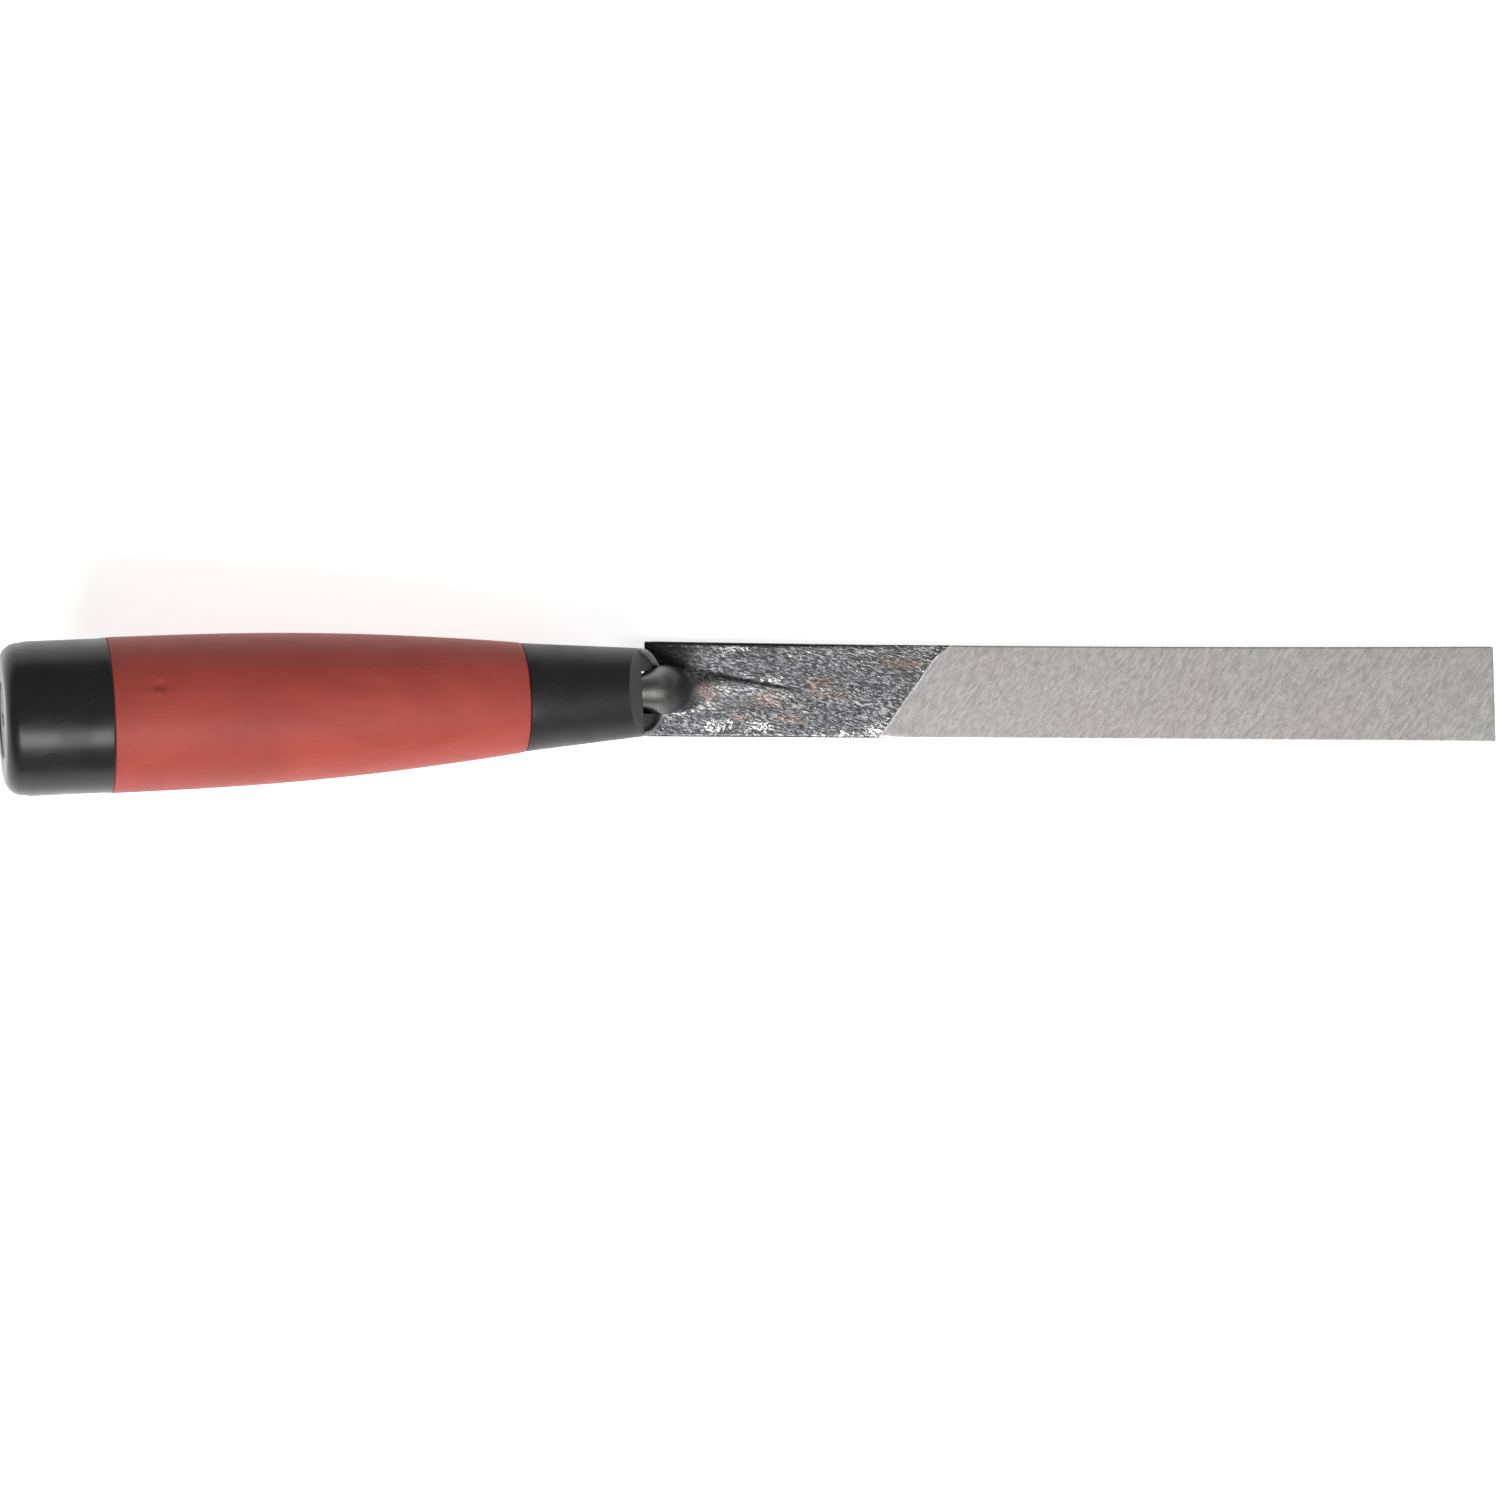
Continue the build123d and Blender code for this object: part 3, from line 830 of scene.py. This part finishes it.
    def hammer(self, piece, blade):
        """Leaves shallow hammer and die marks on the part that isn't ground."""
        open_up(piece)
        near, far = HAMMERED
        above = blade.heel / MM - TOP_SIDE
        pick("VERT", lambda p: near < p.x < far and p.z > above and abs(p.y) < HAMMERED_HALF)
        group = piece.vertex_groups.new(name="as_forged")
        piece.vertex_groups.active_index = group.index
        bpy.ops.object.vertex_group_assign()
        dents = bpy.data.textures.new("hammer_marks", "CLOUDS")
        dents.noise_scale = 3.5
        how = {"strength": 0.18, "mid_level": 0.5, "texture_coords": "LOCAL"}
        finish_with(piece, "DISPLACE", texture=dents, vertex_group=group.name, **how)


# ---- Handle ----------------------------------------------------------------------------------------------
GRIP_FRONT, GRIP_REAR, CORE_REAR, BUTT_END = 24.5, 106.0, 117.0, 126.5
NOSE_TIP, NOSE_ROOT, NOSE_REACH = 8.1, 10.74, 8.0  # the nose's cone, and how far it starts ahead
NOSE_RIDGE = 1.6  # above the nose point, where the end face bends into its pocketed part
RIM_ROUND = 0.3
# Rows behind the slanted end: the share of the slant that is left, and the station.
NOSE_ROWS = ((0.97, 0.4), (0.8, 2.5), (0.6, 5.0), (0.4, 7.5), (0.2, 10.0), (0.0, 12.5))
SLOT = (3.2, 0.95, -6.0, 4.3)  # top inside, top at the mouth, foot and half width, from the handle's axis
SLOT_MOUTH = 0.6  # the station up to which the slot keeps its lower top
SLOT_ROUND = 1.1
BLADE_REACH = 171.76  # from the tip's far corner to the heel
NOTCH_LENGTH = 20.0
NOTCH_ROUND = 2.0
NOTCH = (3.5, 2.6, 11.0)  # half width, reach behind the heel, top, of the notch under the nose
SPIGOT = 6.6
GRIP_WALL = 3.0
NICK = (14.2, 5.2, 97.2)  # in handle coordinates
GRIP_CURVE = ((24.5, 10.88), (32.0, 11.72), (40.0, 12.5), (50.0, 13.38), (60.0, 14.08), (70.0, 14.6))
GRIP_CURVE += ((80.0, 14.93), (92.0, 15.12), (106.0, 15.17))
CAP_FRONT, CAP_BAND, CAP_SHOULDER = 15.12, 15.0, 14.75  # radii at the grip, along the band, at the end
CAP_ROUND = 3.4
CAP_BORE = 10.5
PLUG = 7.5
STEM = 3.2
PLUG_SEAT = 1.85  # depth of the recess for the plug's head
PLUG_HEAD = 1.6
PLUG_SUNK = 0.25
STEM_LENGTH = 20.0


def curve_radius(station):
    """Radius of the grip at a station, through the points of its curve."""
    points = GRIP_CURVE
    for index in range(len(points) - 1):
        (a, ra), (b, rb) = points[index], points[index + 1]
        if station <= b:
            before = points[max(index - 1, 0)]
            after = points[min(index + 2, len(points) - 1)]
            slope_a = (rb - before[1]) / (b - before[0])
            slope_b = (after[1] - ra) / (after[0] - a)
            t = (station - a) / (b - a)
            step = b - a
            return (
                (2 * t**3 - 3 * t**2 + 1) * ra
                + (t**3 - 2 * t**2 + t) * step * slope_a
                + (3 * t**2 - 2 * t**3) * rb
                + (t**3 - t**2) * step * slope_b
            )
    return points[-1][1]


class JOINTER_OT_nose(bpy.types.Operator):
    """Moulds the black nose with its slanted end, pocket and slot for the neck"""

    bl_idname = "jointer.nose"
    bl_label = "Nose"

    def execute(self, context):
        handle = context.scene.jointer_handle
        groove = handle.groove / MM
        slope = (NOSE_ROOT - NOSE_TIP) / (GRIP_FRONT + NOSE_REACH)
        end = NOSE_TIP + slope * NOSE_REACH
        piece = start_round(end, 0, handle.sides)
        self.slant_end(handle, end, slope)
        tilt, station, radius = 1.0, 0.0, end
        for next_tilt, next_station in NOSE_ROWS:
            next_radius = NOSE_TIP + slope * (next_station + NOSE_REACH)
            draw_out((0, 0, next_station - station))
            ratio = next_radius / radius
            swell(ratio, ratio, next_tilt / tilt, (0, 0, next_station))
            tilt, station, radius = next_tilt, next_station, next_radius
        sides = [(NOSE_TIP + slope * (w + NOSE_REACH), w) for w in (15, 18, 21)]
        carry_round([*sides, *rounded(NOSE_ROOT, GRIP_FRONT, groove, 1)], radius, station)
        last = NOSE_ROOT - groove
        carry_round([(SPIGOT, GRIP_FRONT), (SPIGOT, CORE_FRONT)], last, GRIP_FRONT)
        for _ in range(3):
            bpy.ops.object.material_slot_add()
        self.ease_end(handle)
        self.sink_pocket(handle)
        self.cut_slot(piece)
        settle(piece, "nose", ["nose_ferrule"], handle_matrix(), angle=40)
        finish = context.scene.jointer_finish
        piece.material_slots[0].material = black_finish("matte_black", finish, 0.42, 0.014)
        # Painted light: a lighter black on the end face and in the pocket, which catch the light.
        piece.material_slots[1].material = black_finish("pocket_black_painted_light", finish, 0.5, 0.02, 2.4)
        # Painted highlight on the rim round the pocket and on the lower rim's rounding.
        piece.material_slots[2].material = black_finish("rim_black_painted_highlight", finish, 0.3, 0.01, 11.0)
        return {"FINISHED"}

    def slant_end(self, handle, radius, slope):
        """Tips the end ring to the slant of the end face, still on the nose's cone, and more so below."""
        rise, low_rise = math.tan(handle.slant), math.tan(handle.low_slant)
        turn = math.asin(rise)
        turn_loop(-math.degrees(turn), (0, 0, 0))
        swell(1 / math.cos(turn), 1, 1, (0, 0, 0))
        offset = slope * radius * rise
        shift(offset, 0, offset * rise)
        cut((NOSE_RIDGE, 0, 0), (1, 0, 0))
        pick("VERT", lambda p: p.x < NOSE_RIDGE)
        swell(1, 1, low_rise / rise, (0, 0, NOSE_RIDGE * rise))
        bpy.ops.mesh.select_all(action="SELECT")

    def out_of(self, slant):
        """Direction out of an end face of that slant."""
        return Vector((math.sin(slant), 0, -math.cos(slant)))

    def ease_end(self, handle):
        """Rounds the rim of the end face, gives the face a lighter black as painted light, and gives the
        lower rim a painted highlight.
        """
        up, low = self.out_of(handle.slant), self.out_of(handle.low_slant)
        pick("FACE", lambda p, n: max(n.dot(up), n.dot(low)) > 0.999)
        self.paint(1)
        bpy.ops.mesh.region_to_loop()
        bpy.ops.mesh.bevel(offset=RIM_ROUND, segments=3)
        past = NOSE_RIDGE * (math.tan(handle.slant) - math.tan(handle.low_slant))
        pick(
            "FACE",
            lambda p, n: p.x < NOSE_RIDGE
            and p.z < p.x * math.tan(handle.low_slant) + past + 2 * RIM_ROUND
            and n.dot(low) < 0.98,
        )
        self.paint(2)

    def paint(self, slot):
        """Gives the picked faces the finish in that slot."""
        bpy.context.object.active_material_index = slot
        bpy.ops.object.material_slot_assign()

    def sink_pocket(self, handle):
        """Sinks the lower part of the end face inside a thin rim, which carries a painted highlight but for
        its top.
        """
        way = self.out_of(handle.low_slant)
        pick("FACE", lambda p, n: n.dot(way) > 0.999 and p.x < NOSE_RIDGE - 1)
        self.paint(2)
        bpy.ops.mesh.inset(thickness=handle.rim / MM - RIM_ROUND)
        self.paint(1)
        draw_out(-way * handle.pocket / MM)
        pick("FACE", lambda p, n: n.dot(way) > 0.999 and p.x > NOSE_RIDGE - 1)
        self.paint(1)

    def cut_slot(self, piece):
        """Cuts the slot for the neck, which starts under the pocket's upper edge and deepens inwards."""
        top, mouth, foot, half = SLOT
        slot = start_block((top - foot, 2 * half, 2 * CORE_FRONT), ((top + foot) / 2, 0, 0))
        cut((0, 0, CORE_FRONT - 2), (0, 0, 1))
        cut((0, 0, SLOT_MOUTH), (0, 0, 1))
        pick("VERT", lambda p: p.x > top - SMALL and p.z < SLOT_MOUTH + SMALL)
        shift(x=mouth - top)
        pick("EDGE", lambda p: abs(p.y) > half - SMALL)
        bpy.ops.mesh.bevel(offset=SLOT_ROUND, segments=4)
        combine(piece, slot, "DIFFERENCE")
        half, back, top = NOTCH
        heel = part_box("blade_forging")[1][0] / MM - BLADE_REACH
        middle = heel - back + NOTCH_LENGTH / 2
        notch = start_block((NOTCH_LENGTH, 2 * half, top), (middle, 0, top / 2))
        pick("EDGE", lambda p: p.x < middle)
        bpy.ops.mesh.bevel(offset=NOTCH_ROUND, segments=5)
        take_up(notch)
        notch.matrix_world = handle_matrix().inverted()
        bpy.ops.object.transform_apply(location=True, rotation=True)
        combine(piece, notch, "DIFFERENCE")


class JOINTER_OT_grip(bpy.types.Operator):
    """Moulds the soft red grip as a sleeve over the core"""

    bl_idname = "jointer.grip"
    bl_label = "Soft grip"

    def execute(self, context):
        handle = context.scene.jointer_handle
        groove = handle.groove / MM
        front, rear = curve_radius(GRIP_FRONT), curve_radius(GRIP_REAR)
        inner_front, inner_rear = front - GRIP_WALL, rear - GRIP_WALL
        piece = start_round(inner_front, GRIP_FRONT, handle.sides, "NOTHING")
        round_nick = (NICK[2] + step for step in (-1.5, -0.5, 0.5, 1.5))
        rows = sorted({*range(26, 105, 2), *round_nick})
        sides = [(curve_radius(w), w) for w in rows]
        stations = [
            *reversed(rounded(front, GRIP_FRONT, groove, -1)),
            *sides,
            *rounded(rear, GRIP_REAR, groove, 1),
            (inner_rear, GRIP_REAR),
            (inner_front, GRIP_FRONT),
        ]
        carry_round(stations, inner_front, GRIP_FRONT)
        self.nick()
        settle(piece, "grip", ["grip_sleeve"], handle_matrix(), angle=40)
        piece.data.materials.append(grip_finish(context.scene.jointer_finish))
        return {"FINISHED"}

    def nick(self):
        """Presses a small nick into the top of the grip, with a raised lip beside it."""
        at, across = Vector(NICK), math.hypot(*NICK[:2])
        inward = Vector((-NICK[0] / across, -NICK[1] / across, 0))
        pick("VERT", lambda p: (p - at).length < 1.3)
        shift(*(inward * 0.45))
        beside = at + Vector((0, -1.6, 1.2))
        pick("VERT", lambda p: (p - beside).length < 1.0)
        shift(*(inward * -0.2))


class JOINTER_OT_butt_cap(bpy.types.Operator):
    """Moulds the black butt cap over the core's rear end"""

    bl_idname = "jointer.butt_cap"
    bl_label = "Butt cap"

    def execute(self, context):
        handle = context.scene.jointer_handle
        groove = handle.groove / MM
        piece = start_round(CAP_BORE, GRIP_REAR, handle.sides, "NOTHING")
        stations = [
            *reversed(rounded(CAP_FRONT, GRIP_REAR, groove, -1)),
            *((CAP_BAND, station) for station in (107.5, 111.0, 116.0, 121.5)),
            *rounded(CAP_SHOULDER, BUTT_END, CAP_ROUND, 1, steps=12),
            (PLUG + 0.8, BUTT_END),
            (PLUG + 0.25, BUTT_END - 0.05),
            (PLUG, BUTT_END - 0.3),
            (PLUG, BUTT_END - PLUG_SEAT),
            (STEM, BUTT_END - PLUG_SEAT),
            (STEM, CORE_REAR),
            (CAP_BORE, CORE_REAR),
            (CAP_BORE, GRIP_REAR),
        ]
        carry_round(stations, CAP_BORE, GRIP_REAR)
        settle(piece, "cap", ["butt_cap"], handle_matrix(), angle=40)
        finish = context.scene.jointer_finish
        piece.data.materials.append(black_finish("satin_black", finish, 0.3, 0.006))
        return {"FINISHED"}


class JOINTER_OT_butt_plug(bpy.types.Operator):
    """Moulds the plug that closes the butt, with a domed head and a gate mark"""

    bl_idname = "jointer.butt_plug"
    bl_label = "Butt plug"

    def execute(self, context):
        handle = context.scene.jointer_handle
        top = BUTT_END - PLUG_SUNK
        foot = top - STEM_LENGTH
        piece = start_round(STEM - 0.6, foot, handle.sides)
        stations = [
            (STEM, foot + 0.6),
            (STEM, top - PLUG_HEAD),
            (PLUG, top - PLUG_HEAD),
            (PLUG, top - 0.35),
            (PLUG - 0.1, top - 0.12),
            (PLUG - 0.35, top - 0.05),
            (5.0, top - 0.02),
            (2.2, top),
            (1.5, top),
            (1.35, top - 0.2),
            (0.5, top - 0.2),
            (0.35, top - 0.05),
        ]
        carry_round(stations, STEM - 0.6, foot)
        settle(piece, "plug", ["butt_plug"], handle_matrix(), angle=40)
        finish = context.scene.jointer_finish
        piece.data.materials.append(black_finish("plug_black", finish, 0.36, 0.01))
        return {"FINISHED"}


class JOINTER_OT_core(bpy.types.Operator):
    """Gives the hidden core of the handle its moulded finish"""

    bl_idname = "jointer.core"
    bl_label = "Handle core"

    def execute(self, context):
        core = frame["nodes"]["handle_core"]
        finish = black_finish("core_black", context.scene.jointer_finish, 0.5, 0.02)
        core.data.materials.clear()
        core.data.materials.append(finish)
        return {"FINISHED"}


# ---- Stage -----------------------------------------------------------------------------------------------
class JOINTER_OT_stage(bpy.types.Operator):
    """Sets out the floor, the lights and the camera"""

    bl_idname = "jointer.stage"
    bl_label = "Stage"

    def execute(self, context):
        stage = context.scene.jointer_stage
        self.floor(stage)
        self.lights()
        self.camera(stage)
        context.scene.view_settings.view_transform = "Standard"
        return {"FINISHED"}

    def floor(self, stage):
        """A wide pale floor under the sole."""
        put_down()
        bpy.ops.mesh.primitive_plane_add(size=8.0, location=(0, 0, 0))
        floor = bpy.context.object
        floor.name = "floor"
        bpy.ops.object.transform_apply(location=True)
        make = Finish(
            "pale_floor",
            Specular_IOR_Level=0.1,
            Emission_Color=(1, 1, 1, 1),
            Emission_Strength=stage.floor_glow,
        )
        grain = make.noise(make.millimetres(), 0.02, 2.0)
        pale = tuple(stage.floor)
        tone = make.blend(grain, shaded(pale, 0.99), pale)
        rough = make.span(grain, 0, 1, 0.7, 0.8)
        floor.data.materials.append(make.wire(Base_Color=tone, Roughness=rough))

    def lights(self):
        """A large soft box on the -Y side, a weak one off the tip, and an even surround."""
        world = bpy.data.worlds.new("surround")
        world.use_nodes = True
        world.node_tree.nodes["Background"].inputs["Color"].default_value = (1, 1, 1, 1)
        world.node_tree.nodes["Background"].inputs["Strength"].default_value = 0.12
        bpy.context.scene.world = world
        self.soft_box("key", (-0.15, -0.68, 1.1), (1.0, 0.5), 16.5)
        self.soft_box("front", (0.95, -0.2, 0.55), (0.4, 0.4), 3.5)

    def soft_box(self, name, place, size, power):
        """A rectangular area light aimed at the middle of the tool."""
        put_down()
        bpy.ops.object.light_add(type="AREA", location=place)
        lamp = bpy.context.object
        lamp.name = name
        lamp.data.shape = "RECTANGLE"
        lamp.data.size, lamp.data.size_y = size
        lamp.data.energy = power
        aim = Vector((-0.06, 0, 0.01)) - Vector(place)
        lamp.rotation_euler = aim.to_track_quat("-Z", "Y").to_euler()

    def camera(self, stage):
        """A camera straight above, a little off the blade's line."""
        put_down()
        bpy.ops.object.camera_add(
            location=(-64.29 * MM, -12.1 * MM, 3.0 * MM + stage.distance),
            rotation=(0, 0, math.radians(0.37)),
        )
        camera = bpy.context.object
        camera.data.lens = stage.lens
        camera.data.sensor_width = 36.0
        camera.data.clip_start = 0.01
        bpy.context.scene.camera = camera


# ---- Add-on ----------------------------------------------------------------------------------------------
STEPS = (
    JOINTER_OT_forging,
    JOINTER_OT_nose,
    JOINTER_OT_core,
    JOINTER_OT_grip,
    JOINTER_OT_butt_cap,
    JOINTER_OT_butt_plug,
    JOINTER_OT_stage,
)
SETTINGS = {
    "jointer_blade": JointerBlade,
    "jointer_handle": JointerHandle,
    "jointer_finish": JointerFinish,
    "jointer_stage": JointerStage,
}


class JOINTER_PT_panel(bpy.types.Panel):
    """Lists the steps that build the jointer"""

    bl_label = "Brick jointer"
    bl_idname = "JOINTER_PT_panel"
    bl_space_type = "VIEW_3D"
    bl_region_type = "UI"
    bl_category = "Jointer"

    def draw(self, context):
        for step in STEPS:
            self.layout.operator(step.bl_idname)
        for name in SETTINGS:
            group = getattr(context.scene, name)
            box = self.layout.box()
            for key in group.__annotations__:
                box.prop(group, key)


def register():
    """Registers the settings, the steps and the panel."""
    for name, group in SETTINGS.items():
        bpy.utils.register_class(group)
        setattr(bpy.types.Scene, name, PointerProperty(type=group))
    for step in (*STEPS, JOINTER_PT_panel):
        bpy.utils.register_class(step)


def unregister():
    """Removes what register added."""
    for step in (*STEPS, JOINTER_PT_panel):
        bpy.utils.unregister_class(step)
    for name, group in SETTINGS.items():
        delattr(bpy.types.Scene, name)
        bpy.utils.unregister_class(group)


def main():
    """Builds every piece."""
    register()
    for step in STEPS:
        area, name = step.bl_idname.split(".")
        getattr(getattr(bpy.ops, area), name)()


if __name__ == "__main__":
    main()
